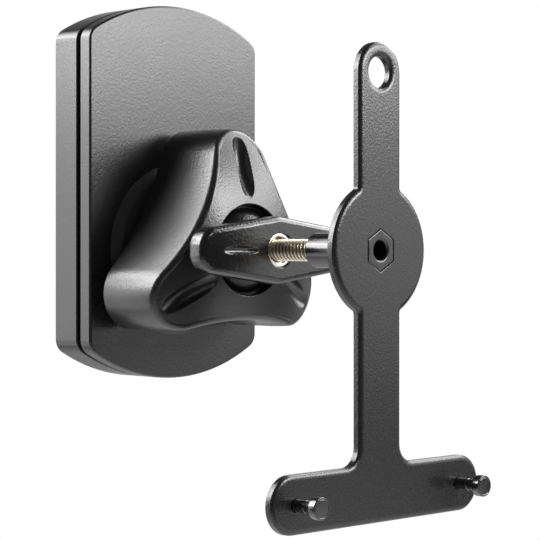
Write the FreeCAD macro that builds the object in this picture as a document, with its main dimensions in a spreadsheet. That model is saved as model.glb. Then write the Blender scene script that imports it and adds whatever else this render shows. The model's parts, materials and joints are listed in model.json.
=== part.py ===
import FreeCAD, Part
import math
import os
import Sketcher

# Speaker wall bracket: an arched wall box, a ball joint clamped by a three-lobed nut,
# a threaded stud with a wing nut, and a flat speaker plate with two keyhole pins.
#
# The part's frame has the wall at Y = 0, the front towards -Y and Z up, with the origin
# on the wall at the middle of the box. Each piece is drawn in a frame of its own, with
# x across, y up and z out of the wall, and its Placement turns that z to -Y. The pieces
# of the ball joint and of its stud lie axis_drop below the middle of the box.

# Driving dimensions in millimetres.
SIZES = {
    # Wall box
    "box_width": 85.0,
    "box_height": 143.0,
    "arch_radius": 79.0,
    "corner_radius": 6.0,
    "rear_depth": 12.6,
    "shadow_gap": 2.0,
    "shadow_inset": 3.0,
    "cover_face": 2.9,
    "cover_edge": 0.9,
    "housing_edge": 0.5,
    "shell_wall": 3.0,
    "web_thickness": 3.0,
    "window_width": 60.0,
    "window_height": 104.0,
    "window_corner": 4.0,
    "seat_clearance": 0.2,
    # Steel plates inside the box
    "wall_plate_thickness": 3.0,
    "carrier_thickness": 3.0,
    "inner_corner": 2.0,
    "wall_hole_radius": 3.25,
    "wall_hole_across": 44.0,
    "wall_hole_up": 90.0,
    "housing_boss_radius": 3.8,
    "housing_boss_up": 76.0,
    "housing_screw_radius": 2.0,
    "housing_screw_head_radius": 3.8,
    "housing_screw_end_gap": 1.0,
    "countersink_margin": 1.0,
    "hook_width": 12.0,
    "hook_across": 36.0,
    "hook_catch": 6.0,
    "tab_width": 16.0,
    "tab_depth": 11.0,
    "lock_out": 7.6,
    "lock_boss_radius": 4.2,
    "lock_boss_height": 6.0,
    "lock_screw_radius": 2.0,
    "lock_head_radius": 3.4,
    "lock_head_height": 3.5,
    "lock_head_recess": 0.5,
    # Ball joint
    "axis_drop": 22.2,
    "collar_radius": 32.7,
    "collar_front_radius": 28.2,
    "collar_height": 2.5,
    "socket_floor": 6.5,
    "socket_wall": 2.6,
    "socket_screw_radius": 2.5,
    "socket_screw_circle": 13.0,
    "socket_screw_grip": 5.0,
    "socket_screw_head_radius": 4.5,
    "socket_screw_head_height": 3.0,
    "ball_radius": 19.0,
    "ball_flat": 17.5,
    "ball_clearance": 0.25,
    "rear_seat_base": 1.25,
    "rear_seat_depth": 12.0,
    "rear_seat_hole": 6.0,
    "front_seat_mouth": 15.8,
    "front_seat_depth": 7.0,
    "clamp_travel": 1.5,
    "thread_clearance": 0.25,
    # Three-lobed clamp nut
    "nut_gap": 3.0,
    "nut_lip": 3.3,
    "nut_bore": 17.0,
    "nut_wall": 3.95,
    "lobe_tip_radius": 13.5,
    "side_hollow_radius": 112.0,
    "dome_radius": 105.0,
    "nut_front_edge": 2.4,
    "nut_back_edge": 1.0,
    "lobe_groove_inner": 2.4,
    "lobe_groove_outer": 3.0,
    "lobe_groove_depth": 3.2,
    "lobe_groove_nose": 3.6,
    # Stud and wing nut
    "stud_radius": 4.0,
    "stud_chamfer": 0.8,
    "stud_in_ball": 13.0,
    "stud_in_standoff": 16.0,
    "stud_show": 30.5,
    "wing_gap": 3.6,
    "wing_thickness": 9.4,
    "wing_half_length": 37.5,
    "wing_hub_half_height": 12.4,
    "wing_end_half_height": 7.4,
    "wing_end_round": 7.0,
    "wing_hub_round": 8.0,
    "wing_edge": 1.5,
    "wing_groove_start": 11.0,
    "wing_groove_length": 16.6,
    "wing_groove_depth": 1.7,
    "wing_groove_nose": 1.9,
    "insert_radius": 6.2,
    "insert_recess": 0.7,
    "insert_countersink": 1.1,
    "running_clearance": 0.1,
    "joint_clearance": 0.05,
    # Speaker plate
    "standoff_length": 28.5,
    "standoff_radius": 6.0,
    "standoff_chamfer": 0.8,
    "standoff_hex": 13.0,
    "standoff_hole": 3.4,
    "plate_thickness": 3.0,
    "disc_radius": 23.5,
    "arm_width": 21.0,
    "arm_reach": 61.7,
    "top_hole_radius": 5.5,
    "bar_drop": 84.1,
    "bar_half_height": 10.0,
    "pin_spacing": 83.2,
    "bar_overhang": 1.2,
    "head_hole_edge": 0.3,
    "bar_corner": 6.5,
    "disc_corner": 1.5,
    "plate_edge": 0.8,
    "pin_radius": 2.2,
    "pin_reach": 12.0,
    "pin_head_radius": 3.8,
    "pin_head_length": 3.0,
    "pin_chamfer": 0.4,
}


class Size:
    """A size of the sheet, or a sum of such sizes, with the expression that gives it."""

    def __init__(self, value, text):
        self.value = value
        self.text = text

    def __add__(self, other):
        other = as_size(other)
        return Size(self.value + other.value, f"({self.text} + {other.text})")

    def __radd__(self, other):
        return as_size(other) + self

    def __sub__(self, other):
        other = as_size(other)
        return Size(self.value - other.value, f"({self.text} - {other.text})")

    def __rsub__(self, other):
        return as_size(other) - self

    def __mul__(self, other):
        other = as_size(other)
        return Size(self.value * other.value, f"({self.text} * {other.text})")

    def __rmul__(self, other):
        return as_size(other) * self

    def __truediv__(self, other):
        other = as_size(other)
        return Size(self.value / other.value, f"({self.text} / {other.text})")

    def __neg__(self):
        return 0 - self

    def root(self):
        return Size(math.sqrt(self.value), f"sqrt({self.text})")


def as_size(number):
    """A plain number as a size, so that both can be added and multiplied."""
    return number if isinstance(number, Size) else Size(float(number), repr(float(number)))


class SizeSheet:
    """The sizes by name, each tied to its cell of the sheet."""

    def __init__(self, document, values):
        sheet = document.addObject("Spreadsheet::Sheet", "Sizes")
        for row, (name, value) in enumerate(values.items(), start=1):
            sheet.set(f"A{row}", name)
            sheet.set(f"B{row}", str(value))
            sheet.setAlias(f"B{row}", name)
            setattr(self, name, Size(value, f"Sizes.{name}"))
        document.recompute()


doc = FreeCAD.newDocument("speaker_wall_bracket")
s = SizeSheet(doc, SIZES)
OUT_OF_WALL = FreeCAD.Rotation(FreeCAD.Vector(1, 0, 0), 90)
ZERO = as_size(0)
TINY = 1e-4
pieces = []

# Heights out of the wall, from the wall forwards.
web_back = s.rear_depth - s.web_thickness
cover_back = s.rear_depth + s.shadow_gap
cover_inner = cover_back + s.carrier_thickness
cover_front = cover_inner + s.cover_face
collar_front = cover_front + s.collar_height
nut_back = collar_front + s.nut_gap
seat_floor = cover_front + s.socket_floor
ball_centre = seat_floor + s.rear_seat_base + s.ball_clearance + s.ball_radius
seat_sphere = s.ball_radius + s.ball_clearance
front_seat_front = ball_centre + (seat_sphere * seat_sphere - s.front_seat_mouth * s.front_seat_mouth).root()
front_seat_back = front_seat_front - s.front_seat_depth
socket_front = front_seat_back - s.clamp_travel
nut_shoulder = front_seat_front + s.joint_clearance
nut_front = nut_shoulder + s.nut_lip
ball_front = ball_centre + s.ball_flat
wing_back = ball_front + s.wing_gap
wing_front = wing_back + s.wing_thickness
standoff_back = ball_front + s.stud_show
plate_back = standoff_back + s.standoff_length
plate_front = plate_back + s.plate_thickness

# Radii that follow from the ball.
socket_cavity = s.ball_radius + s.ball_clearance + s.thread_clearance + s.running_clearance
socket_radius = socket_cavity + s.socket_wall
nut_thread = socket_radius + s.thread_clearance

# Heights in the box, up from its middle.
window_top = s.window_height / 2
window_bottom = -window_top


def bind(thing, path, size):
    """Tie one property of a document object to its size."""
    thing.setExpression(path, as_size(size).text)


def place(piece, across=ZERO, up=ZERO):
    """Turn a piece to face the front and move it to its place in the part."""
    piece.Placement = FreeCAD.Placement(FreeCAD.Vector(), OUT_OF_WALL)
    bind(piece, "Placement.Base.x", across)
    bind(piece, "Placement.Base.z", up)


def finish(piece, label, across=ZERO, up=ZERO):
    """Name a finished piece after its node and put it in its place."""
    piece.Label = label
    place(piece, across, up)
    pieces.append(piece)


def primitive(kind, name, **sizes):
    """A Part primitive whose properties are tied to sizes."""
    thing = doc.addObject(f"Part::{kind}", name)
    for path, size in sizes.items():
        bind(thing, path, size)
    return thing


def lift(thing, height):
    """Raise a primitive along its own z."""
    bind(thing, "Placement.Base.z", height)
    return thing


def boolean(kind, name, base, tool):
    """A Part boolean of two objects."""
    thing = doc.addObject(f"Part::{kind}", name)
    thing.Base = base
    thing.Tool = tool
    return thing


def new_body(name):
    return doc.addObject("PartDesign::Body", f"{name}_body")


def new_sketch(body, name, plane="XY_Plane", offset=ZERO):
    """A sketch on one of the body's own origin planes, moved along its normal."""
    sketch = body.newObject("Sketcher::SketchObject", name)
    support = next(item for item in body.Origin.OriginFeatures if item.Role == plane)
    sketch.AttachmentSupport = (support, [""])
    sketch.MapMode = "FlatFace"
    bind(sketch, "AttachmentOffset.Base.z", offset)
    return sketch


def dimension(sketch, kind, where, size):
    """A dimension of the sketch that follows its size."""
    size = as_size(size)
    index = sketch.addConstraint(Sketcher.Constraint(kind, *where, size.value))
    sketch.setExpression(f"Constraints[{index}]", size.text)


def pin_point(sketch, geometry, point, x, y):
    """Fix one point of a sketch by its two coordinates."""
    dimension(sketch, "DistanceX", (-1, 1, geometry, point), x)
    dimension(sketch, "DistanceY", (-1, 1, geometry, point), y)


def vector(x, y):
    return FreeCAD.Vector(as_size(x).value, as_size(y).value, 0)


def draw_polygon(sketch, corners):
    """A closed outline of straight lines through the corners."""
    first = sketch.GeometryCount
    count = len(corners)
    for index, corner in enumerate(corners):
        following = corners[(index + 1) % count]
        sketch.addGeometry(Part.LineSegment(vector(*corner), vector(*following)), False)
    for index, corner in enumerate(corners):
        following = first + (index + 1) % count
        sketch.addConstraint(Sketcher.Constraint("Coincident", first + index, 2, following, 1))
        pin_point(sketch, first + index, 1, *corner)


def draw_rectangle(sketch, left, bottom, right, top):
    draw_polygon(sketch, [(left, bottom), (right, bottom), (right, top), (left, top)])


def draw_circle(sketch, radius, x=ZERO, y=ZERO):
    centre = vector(x, y)
    geometry = sketch.addGeometry(Part.Circle(centre, FreeCAD.Vector(0, 0, 1), radius.value), False)
    pin_point(sketch, geometry, 3, x, y)
    dimension(sketch, "Radius", (geometry,), radius)


def draw_arc(sketch, radius, centre, start, end, pinned=True):
    """An arc of a set radius, drawn anticlockwise between two angles in radians."""
    circle = Part.Circle(vector(*centre), FreeCAD.Vector(0, 0, 1), radius.value)
    geometry = sketch.addGeometry(Part.ArcOfCircle(circle, start, end), False)
    dimension(sketch, "Radius", (geometry,), radius)
    if pinned:
        pin_point(sketch, geometry, 3, *centre)
    return geometry


def draw_stadium(sketch, left, right, height, radius):
    """A level bar with full round ends."""
    arcs = []
    for x, start in ((right, -math.pi / 2), (left, math.pi / 2)):
        arcs.append(draw_arc(sketch, radius, (x, height), start, start + math.pi))
    for here, there in (arcs, arcs[::-1]):
        begin = sketch.getPoint(here, 2)
        end = sketch.getPoint(there, 1)
        line = sketch.addGeometry(Part.LineSegment(begin, end), False)
        sketch.addConstraint(Sketcher.Constraint("Tangent", here, 2, line, 1))
        sketch.addConstraint(Sketcher.Constraint("Tangent", line, 2, there, 1))


def draw_box_outline(sketch, inset=ZERO):
    """The wall box's outline: upright sides and an arch at the top and the bottom."""
    half = s.box_width / 2 - inset
    radius = s.arch_radius - inset
    arch_centre = s.box_height / 2 - s.arch_radius
    spread = math.acos(half.value / radius.value)
    top = draw_arc(sketch, radius, (ZERO, arch_centre), spread, math.pi - spread)
    bottom = draw_arc(sketch, radius, (ZERO, -arch_centre), math.pi + spread, 2 * math.pi - spread)
    left = sketch.addGeometry(Part.LineSegment(sketch.getPoint(top, 2), sketch.getPoint(bottom, 1)), False)
    right = sketch.addGeometry(Part.LineSegment(sketch.getPoint(bottom, 2), sketch.getPoint(top, 1)), False)
    for here, there in ((top, left), (left, bottom), (bottom, right), (right, top)):
        sketch.addConstraint(Sketcher.Constraint("Coincident", here, 2, there, 1))
    for side, distance in ((left, -half), (right, half)):
        sketch.addConstraint(Sketcher.Constraint("Vertical", side))
        dimension(sketch, "DistanceX", (-1, 1, side, 1), distance)


def corner_places(across, up):
    """The four corners of a rectangle about the middle."""
    return [(across * x / 2, up * y / 2) for x in (-1, 1) for y in (-1, 1)]


def screw_circle_places():
    """The socket screws' places about the ball joint's axis, at the corners of a square."""
    side = s.socket_screw_circle * as_size(2).root()
    return corner_places(side, side)


def pad(body, sketch, length):
    feature = body.newObject("PartDesign::Pad", f"{sketch.Name}_pad")
    feature.Profile = sketch
    bind(feature, "Length", length)
    doc.recompute()
    return feature


def pocket(body, sketch, length):
    """Cut away what lies behind the sketch, for the given length, and see that it cuts."""
    before = body.Shape.Volume
    feature = body.newObject("PartDesign::Pocket", f"{sketch.Name}_pocket")
    feature.Profile = sketch
    bind(feature, "Length", length)
    doc.recompute()
    if body.Shape.Volume > before - TINY:
        raise RuntimeError(f"{feature.Name} cuts nothing")
    return feature


def turn(body, sketch, kind="Revolution", axis="V_Axis"):
    """A full turn of a sketch about one of its axes, added to the body or cut from it."""
    before = body.Shape.Volume if kind == "Groove" else 0
    feature = body.newObject(f"PartDesign::{kind}", f"{sketch.Name}_turn")
    feature.Profile = sketch
    feature.ReferenceAxis = (sketch, [axis])
    feature.Angle = 360
    doc.recompute()
    if kind == "Groove" and body.Shape.Volume > before - TINY:
        raise RuntimeError(f"{feature.Name} cuts nothing")
    return feature


def repeat_round(body, feature, count):
    """Repeat a feature evenly about the body's z axis."""
    pattern = body.newObject("PartDesign::PolarPattern", f"{feature.Name}_round")
    pattern.Originals = [feature]
    pattern.Axis = (next(item for item in body.Origin.OriginFeatures if item.Role == "Z_Axis"), [""])
    pattern.Angle = 360
    pattern.Occurrences = count
    body.Tip = pattern
    doc.recompute()
    return pattern


def edges_where(body, test):
    """The names of the body's edges that pass a test."""
    found = [f"Edge{index}" for index, edge in enumerate(body.Shape.Edges, start=1) if test(edge)]
    if not found:
        raise RuntimeError(f"no such edge on {body.Name}")
    return found


def dress(body, kind, name, edges, size):
    """A fillet or chamfer on named edges of the body's last feature."""
    base = body.Tip
    feature = body.newObject(f"PartDesign::{kind}", name)
    feature.Base = (base, edges)
    bind(feature, "Radius" if kind == "Fillet" else "Size", size)
    doc.recompute()
    return feature


def is_upright(edge):
    ends = [vertex.Point for vertex in edge.Vertexes]
    return len(ends) == 2 and math.hypot(ends[0].x - ends[1].x, ends[0].y - ends[1].y) < TINY


def lies_at(edge, height):
    """True for an edge that lies level at a height out of the wall."""
    box = edge.BoundBox
    return abs(box.ZMin - height) < TINY and abs(box.ZMax - height) < TINY


def round_upright(body, name, radius, test=lambda edge: True):
    """Round the upright edges that pass a test."""
    edges = edges_where(body, lambda edge: is_upright(edge) and test(edge))
    return dress(body, "Fillet", name, edges, radius)


def turned_piece(name, profile):
    """A body turned from an outline of (radius, height out of the wall) corners."""
    body = new_body(name)
    sketch = new_sketch(body, f"{name}_profile", "XZ_Plane")
    draw_polygon(sketch, profile)
    turn(body, sketch)
    return body


# Wall plate: sheet steel that closes the back of the rear housing. Four countersunk
# screws hold the housing to it, and four larger holes take the wall screws.
boss_inset = s.shell_wall + s.seat_clearance + s.countersink_margin + s.housing_screw_head_radius
boss_across = s.box_width - 2 * boss_inset
boss_places = corner_places(boss_across, s.housing_boss_up)
countersink = s.housing_screw_head_radius - s.housing_screw_radius

body = new_body("wall_plate")
sketch = new_sketch(body, "wall_plate_outline")
draw_box_outline(sketch, s.shell_wall + s.seat_clearance)
pad(body, sketch, s.wall_plate_thickness)
round_upright(body, "wall_plate_corners", s.inner_corner)
sketch = new_sketch(body, "wall_plate_wall_holes", offset=s.wall_plate_thickness)
for x, y in corner_places(s.wall_hole_across, s.wall_hole_up):
    draw_circle(sketch, s.wall_hole_radius, x, y)
pocket(body, sketch, s.wall_plate_thickness)
sketch = new_sketch(body, "wall_plate_screw_holes", offset=s.wall_plate_thickness)
screw_hole = s.housing_screw_radius + s.joint_clearance
for x, y in boss_places:
    draw_circle(sketch, screw_hole, x, y)
pocket(body, sketch, s.wall_plate_thickness)
mouths = edges_where(body, lambda edge: lies_at(edge, 0) and hasattr(edge.Curve, "Radius")
                     and abs(edge.Curve.Radius - screw_hole.value) < TINY)
dress(body, "Chamfer", "wall_plate_countersinks", mouths, countersink)
finish(body, "wall_plate")

# Rear housing: moulded shell round the wall plate, with a web across its front. The web
# has a large window, and a step round its edge leaves the dark gap behind the cover.
body = new_body("rear_housing")
sketch = new_sketch(body, "rear_outline")
draw_box_outline(sketch)
pad(body, sketch, s.rear_depth)
round_upright(body, "rear_corners", s.corner_radius)
rim = edges_where(body, lambda edge: lies_at(edge, s.rear_depth.value))
dress(body, "Fillet", "rear_front_edge", rim, s.housing_edge)
sketch = new_sketch(body, "rear_step", offset=s.rear_depth)
draw_box_outline(sketch, s.shadow_inset)
pad(body, sketch, s.shadow_gap)
sketch = new_sketch(body, "rear_hollow", offset=web_back)
draw_box_outline(sketch, s.shell_wall)
pocket(body, sketch, web_back)
sketch = new_sketch(body, "rear_window", offset=cover_back)
draw_rectangle(sketch, -s.window_width / 2, window_bottom, s.window_width / 2, window_top)
pocket(body, sketch, s.web_thickness + s.shadow_gap)
half_window = s.window_width.value / 2
round_upright(body, "rear_window_corners", s.window_corner,
              lambda edge: abs(abs(edge.Vertexes[0].X) - half_window) < TINY)
sketch = new_sketch(body, "rear_bosses", offset=s.wall_plate_thickness)
for x, y in boss_places:
    draw_circle(sketch, s.housing_boss_radius, x, y)
pad(body, sketch, web_back - s.wall_plate_thickness)
sketch = new_sketch(body, "rear_boss_holes", offset=web_back)
for x, y in boss_places:
    draw_circle(sketch, screw_hole, x, y)
pocket(body, sketch, web_back - s.wall_plate_thickness)
lock_boss_top = s.box_height / 2 - s.shell_wall - s.lock_boss_height
sketch = new_sketch(body, "rear_lock_boss", "XZ_Plane", lock_boss_top)
draw_circle(sketch, s.lock_boss_radius, ZERO, s.lock_out)
pad(body, sketch, s.lock_boss_height + s.shell_wall / 2)
lock_seat = s.box_height / 2 - s.lock_head_recess - s.lock_head_height
sketch = new_sketch(body, "rear_lock_counterbore", "XZ_Plane", s.box_height / 2)
draw_circle(sketch, s.lock_head_radius + s.seat_clearance, ZERO, s.lock_out)
pocket(body, sketch, s.box_height / 2 - lock_seat)
sketch = new_sketch(body, "rear_lock_hole", "XZ_Plane", lock_seat)
draw_circle(sketch, s.lock_screw_radius + s.joint_clearance, ZERO, s.lock_out)
pocket(body, sketch, lock_seat - lock_boss_top)
finish(body, "rear_housing")

# Carrier plate: sheet steel behind the cover that carries the ball socket. Two hooks catch
# behind the web's upper edge, and a tab rests on its lower edge and takes the lock screw.
socket_screw_hole = s.socket_screw_radius + s.joint_clearance
body = new_body("carrier_plate")
sketch = new_sketch(body, "carrier_outline", offset=cover_back)
draw_box_outline(sketch, s.shell_wall + s.seat_clearance)
pad(body, sketch, s.carrier_thickness)
round_upright(body, "carrier_corners", s.inner_corner)
hook_top = window_top - s.seat_clearance
hook_bottom = hook_top - s.carrier_thickness
hook_back = web_back - s.seat_clearance - s.carrier_thickness
for side in (-1, 1):
    left = s.hook_across / 2 * side - s.hook_width / 2
    right = left + s.hook_width
    sketch = new_sketch(body, f"carrier_hook_leg_{side + 1}", offset=hook_back)
    draw_rectangle(sketch, left, hook_bottom, right, hook_top)
    pad(body, sketch, cover_back - hook_back)
    sketch = new_sketch(body, f"carrier_hook_tip_{side + 1}", offset=hook_back)
    draw_rectangle(sketch, left, hook_bottom, right, hook_top + s.hook_catch)
    pad(body, sketch, s.carrier_thickness)
tab_bottom = window_bottom + s.seat_clearance
tab_top = tab_bottom + s.carrier_thickness
sketch = new_sketch(body, "carrier_tab", offset=cover_back - s.tab_depth)
draw_rectangle(sketch, -s.tab_width / 2, tab_bottom, s.tab_width / 2, tab_top)
pad(body, sketch, s.tab_depth)
sketch = new_sketch(body, "carrier_tab_hole", "XZ_Plane", -tab_bottom)
draw_circle(sketch, s.lock_screw_radius + s.joint_clearance, ZERO, s.lock_out)
pocket(body, sketch, s.carrier_thickness)
sketch = new_sketch(body, "carrier_socket_holes", offset=cover_inner)
for x, y in screw_circle_places():
    draw_circle(sketch, socket_screw_hole, x, y - s.axis_drop)
pocket(body, sketch, s.carrier_thickness)
finish(body, "carrier_plate")

# Front cover: moulded tray that hides the carrier plate.
body = new_body("front_cover")
sketch = new_sketch(body, "cover_outline", offset=cover_back)
draw_box_outline(sketch)
pad(body, sketch, s.carrier_thickness + s.cover_face)
round_upright(body, "cover_corners", s.corner_radius)
rim = edges_where(body, lambda edge: lies_at(edge, cover_front.value))
dress(body, "Fillet", "cover_front_edge", rim, s.cover_edge)
rim = edges_where(body, lambda edge: lies_at(edge, cover_back.value))
dress(body, "Fillet", "cover_back_edge", rim, s.housing_edge)
sketch = new_sketch(body, "cover_tray", offset=cover_inner)
draw_box_outline(sketch, s.shell_wall)
pocket(body, sketch, s.carrier_thickness)
sketch = new_sketch(body, "cover_socket_holes", offset=cover_front)
for x, y in screw_circle_places():
    draw_circle(sketch, socket_screw_hole, x, y - s.axis_drop)
pocket(body, sketch, s.cover_face)
finish(body, "front_cover")


def screw_group(label, places, height, parts, up=ZERO):
    """Screws of one kind, each a fuse of primitives stacked out of the wall from a height."""
    screws = []
    for index, (x, y) in enumerate(places):
        steps = []
        level = height
        for step, (kind, length, sizes) in enumerate(parts):
            name = f"{label}_{index}_{step}"
            solid = primitive(kind, name, Height=length, **sizes)
            bind(solid, "Placement.Base.x", x)
            bind(solid, "Placement.Base.y", y)
            steps.append(lift(solid, level))
            level = level + length
        screws.append(boolean("Fuse", f"{label}_{index}", *steps))
    group = doc.addObject("Part::Compound", f"{label}_group")
    group.Links = screws
    doc.recompute()
    finish(group, label, up=up)


# Screws: countersunk ones from the wall plate into the housing, and pan-headed ones from
# the carrier plate into the socket.
screw_group("housing_screws", boss_places, ZERO, [
    ("Cone", countersink, {"Radius1": s.housing_screw_head_radius, "Radius2": s.housing_screw_radius}),
    ("Cylinder", web_back - s.housing_screw_end_gap - countersink, {"Radius": s.housing_screw_radius}),
])
socket_screw_length = s.carrier_thickness + s.cover_face + s.socket_screw_grip
screw_group("socket_screws", screw_circle_places(), cover_back - s.socket_screw_head_height, [
    ("Cylinder", s.socket_screw_head_height, {"Radius": s.socket_screw_head_radius}),
    ("Cylinder", socket_screw_length, {"Radius": s.socket_screw_radius}),
], up=-s.axis_drop)

# Lock screw: enters from below the box and holds the carrier's tab.
lock_length = lock_seat + tab_top + s.lock_screw_radius
body = new_body("lock_screw")
sketch = new_sketch(body, "lock_head", "XZ_Plane", lock_seat)
draw_circle(sketch, s.lock_head_radius, ZERO, s.lock_out)
pad(body, sketch, s.lock_head_height)
sketch = new_sketch(body, "lock_shank", "XZ_Plane", lock_seat - lock_length)
draw_circle(sketch, s.lock_screw_radius, ZERO, s.lock_out)
pad(body, sketch, lock_length)
finish(body, "lock_screw")

# Socket: turned casting with a tapered collar on the cover and a threaded neck.
body = turned_piece("socket", [
    (ZERO, cover_front),
    (s.collar_radius, cover_front),
    (s.collar_front_radius, collar_front),
    (socket_radius, collar_front),
    (socket_radius, socket_front),
    (socket_cavity, socket_front),
    (socket_cavity, seat_floor),
    (ZERO, seat_floor),
])
sketch = new_sketch(body, "socket_screw_holes", offset=cover_front + s.socket_screw_grip)
for x, y in screw_circle_places():
    draw_circle(sketch, socket_screw_hole, x, y)
pocket(body, sketch, s.socket_screw_grip)
finish(body, "socket", up=-s.axis_drop)


def ball_shape(name, radius):
    """A sphere about the ball's centre."""
    return lift(primitive("Sphere", name, Radius=radius), ball_centre)


# Rear seat: a cup on the socket's floor that the ball turns in.
cup_radius = socket_cavity - s.running_clearance
blank = primitive("Cylinder", "rear_seat_blank", Radius=cup_radius, Height=s.rear_seat_depth)
sphere = ball_shape("rear_seat_sphere", seat_sphere)
cup = boolean("Cut", "rear_seat_cup", lift(blank, seat_floor), sphere)
hole = primitive("Cylinder", "rear_seat_bore", Radius=s.rear_seat_hole, Height=s.rear_seat_depth)
finish(boolean("Cut", "rear_seat_ring", cup, lift(hole, seat_floor)), "rear_seat", up=-s.axis_drop)

# Front seat: the ring that the clamp nut presses on the ball.
ring_radius = nut_thread - s.thread_clearance
blank = primitive("Cylinder", "front_seat_blank", Radius=ring_radius, Height=s.front_seat_depth)
sphere = ball_shape("front_seat_sphere", seat_sphere)
finish(boolean("Cut", "front_seat_ring", lift(blank, front_seat_back), sphere), "front_seat", up=-s.axis_drop)

# Ball: with a flat at its front, where the stud is screwed in.
reach = s.ball_radius + s.ball_flat
slug = primitive("Cylinder", "ball_slug", Radius=seat_sphere, Height=reach)
sphere = ball_shape("ball_sphere", s.ball_radius)
ball = boolean("Common", "ball_blank", sphere, lift(slug, ball_front - reach))
stud_start = ball_front - s.stud_in_ball
hole_radius = s.stud_radius + s.joint_clearance
stud_hole = primitive("Cylinder", "ball_stud_hole", Radius=hole_radius, Height=s.stud_in_ball)
finish(boolean("Cut", "ball_drilled", ball, lift(stud_hole, stud_start)), "ball", up=-s.axis_drop)

# Stud: from the ball through the wing nut into the standoff.
stud_end = standoff_back + s.stud_in_standoff
body = turned_piece("stud", [
    (ZERO, stud_start),
    (s.stud_radius, stud_start),
    (s.stud_radius, stud_end - s.stud_chamfer),
    (s.stud_radius - s.stud_chamfer, stud_end),
    (ZERO, stud_end),
])
finish(body, "stud", up=-s.axis_drop)

# Clamp nut: a prism with three round lobes and hollow sides under a domed front. The
# sides' hollow arcs touch the lobes' tips, and their waist leaves nut_wall round the thread.
side_centre = s.side_hollow_radius + nut_thread + s.nut_wall
tip_to_side = s.side_hollow_radius + s.lobe_tip_radius
lobe_centre = (side_centre - (4 * tip_to_side * tip_to_side - 3 * side_centre * side_centre).root()) / 2
lobe_reach = lobe_centre + s.lobe_tip_radius
dome_centre = nut_front - (s.dome_radius * s.dome_radius - s.nut_bore * s.nut_bore).root()
dome_top = dome_centre + s.dome_radius
COS_30 = as_size(3).root() / 2
LOBE_DIRECTIONS = [(ZERO, as_size(1)), (-COS_30, as_size(-0.5)), (COS_30, as_size(-0.5))]


def draw_three_lobes(sketch):
    """Three tips joined by three hollow sides, anticlockwise from the upper lobe."""
    tips = []
    sides = []
    lean = math.acos((lobe_centre.value - side_centre.value / 2) / tip_to_side.value)
    for index, (x, y) in enumerate(LOBE_DIRECTIONS):
        lobe_angle = math.pi / 2 + index * 2 * math.pi / 3
        side_angle = lobe_angle + math.pi / 3
        back = (-LOBE_DIRECTIONS[(index + 2) % 3][0], -LOBE_DIRECTIONS[(index + 2) % 3][1])
        tips.append(draw_arc(sketch, s.lobe_tip_radius, (x * lobe_centre, y * lobe_centre),
                             lobe_angle - math.pi + lean, lobe_angle + math.pi - lean))
        half = math.asin(lobe_centre.value * math.sin(math.pi / 3) / tip_to_side.value)
        sides.append(draw_arc(sketch, s.side_hollow_radius, (back[0] * side_centre, back[1] * side_centre),
                              side_angle + math.pi - half, side_angle + math.pi + half, pinned=False))
    for index, tip in enumerate(tips):
        side = sides[index]
        following = tips[(index + 1) % 3]
        sketch.addConstraint(Sketcher.Constraint("Tangent", tip, 2, side, 2))
        sketch.addConstraint(Sketcher.Constraint("Tangent", side, 1, following, 1))


def draw_dome_cut(sketch, outer):
    """The space over the dome, out to a radius clear of the lobes."""
    start = math.acos(outer.value / s.dome_radius.value)
    arc = draw_arc(sketch, s.dome_radius, (ZERO, dome_centre), start, math.pi / 2)
    dimension(sketch, "DistanceX", (-1, 1, arc, 1), outer)
    dimension(sketch, "DistanceX", (-1, 1, arc, 2), ZERO)
    roof = dome_top + s.nut_lip
    corners = [sketch.getPoint(arc, 1), vector(outer, roof), vector(ZERO, roof), sketch.getPoint(arc, 2)]
    side, top, middle = [sketch.addGeometry(Part.LineSegment(here, there), False)
                         for here, there in zip(corners, corners[1:])]
    for joint in ((arc, 1, side, 1), (side, 2, top, 1), (top, 2, middle, 1), (middle, 2, arc, 2)):
        sketch.addConstraint(Sketcher.Constraint("Coincident", *joint))
    pin_point(sketch, top, 1, outer, roof)
    pin_point(sketch, top, 2, ZERO, roof)


def wheel_reach(length, depth):
    """The radius of a wheel that cuts a groove of this length and depth."""
    return (length * length / 4 + depth * depth) / (2 * depth)


def draw_wheel(sketch, axis_height, reach, nose):
    """The round nose of a cutting wheel under its level axis, which cuts a pointed groove."""
    axis = sketch.addGeometry(Part.LineSegment(vector(-nose, axis_height), vector(nose, axis_height)), True)
    pin_point(sketch, axis, 1, -nose, axis_height)
    pin_point(sketch, axis, 2, nose, axis_height)
    draw_circle(sketch, nose, ZERO, axis_height - reach + nose)


def dome_height(radius):
    """The dome's height out of the wall at a distance from its axis."""
    return dome_centre + (s.dome_radius * s.dome_radius - radius * radius).root()


body = new_body("clamp_nut")
sketch = new_sketch(body, "nut_outline", offset=nut_back)
draw_three_lobes(sketch)
pad(body, sketch, dome_top + s.nut_lip / 2 - nut_back)
sketch = new_sketch(body, "nut_dome", "XZ_Plane")
draw_dome_cut(sketch, lobe_reach + s.lobe_tip_radius)
turn(body, sketch, "Groove")
edges = edges_where(body, lambda edge: not is_upright(edge) and not lies_at(edge, nut_back.value))
dress(body, "Fillet", "nut_front_edge", edges, s.nut_front_edge)
edges = edges_where(body, lambda edge: lies_at(edge, nut_back.value))
dress(body, "Fillet", "nut_back_edge", edges, s.nut_back_edge)
sketch = new_sketch(body, "nut_thread_bore", offset=nut_shoulder)
draw_circle(sketch, nut_thread)
pocket(body, sketch, nut_shoulder - nut_back)
sketch = new_sketch(body, "nut_front_bore", offset=dome_top + s.nut_lip)
draw_circle(sketch, s.nut_bore)
pocket(body, sketch, dome_top + s.nut_lip - nut_back)
groove_start = s.nut_bore + s.lobe_groove_inner
groove_end = lobe_reach - s.lobe_groove_outer
groove_run = groove_end - groove_start
groove_fall = dome_height(groove_start) - dome_height(groove_end)
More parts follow.
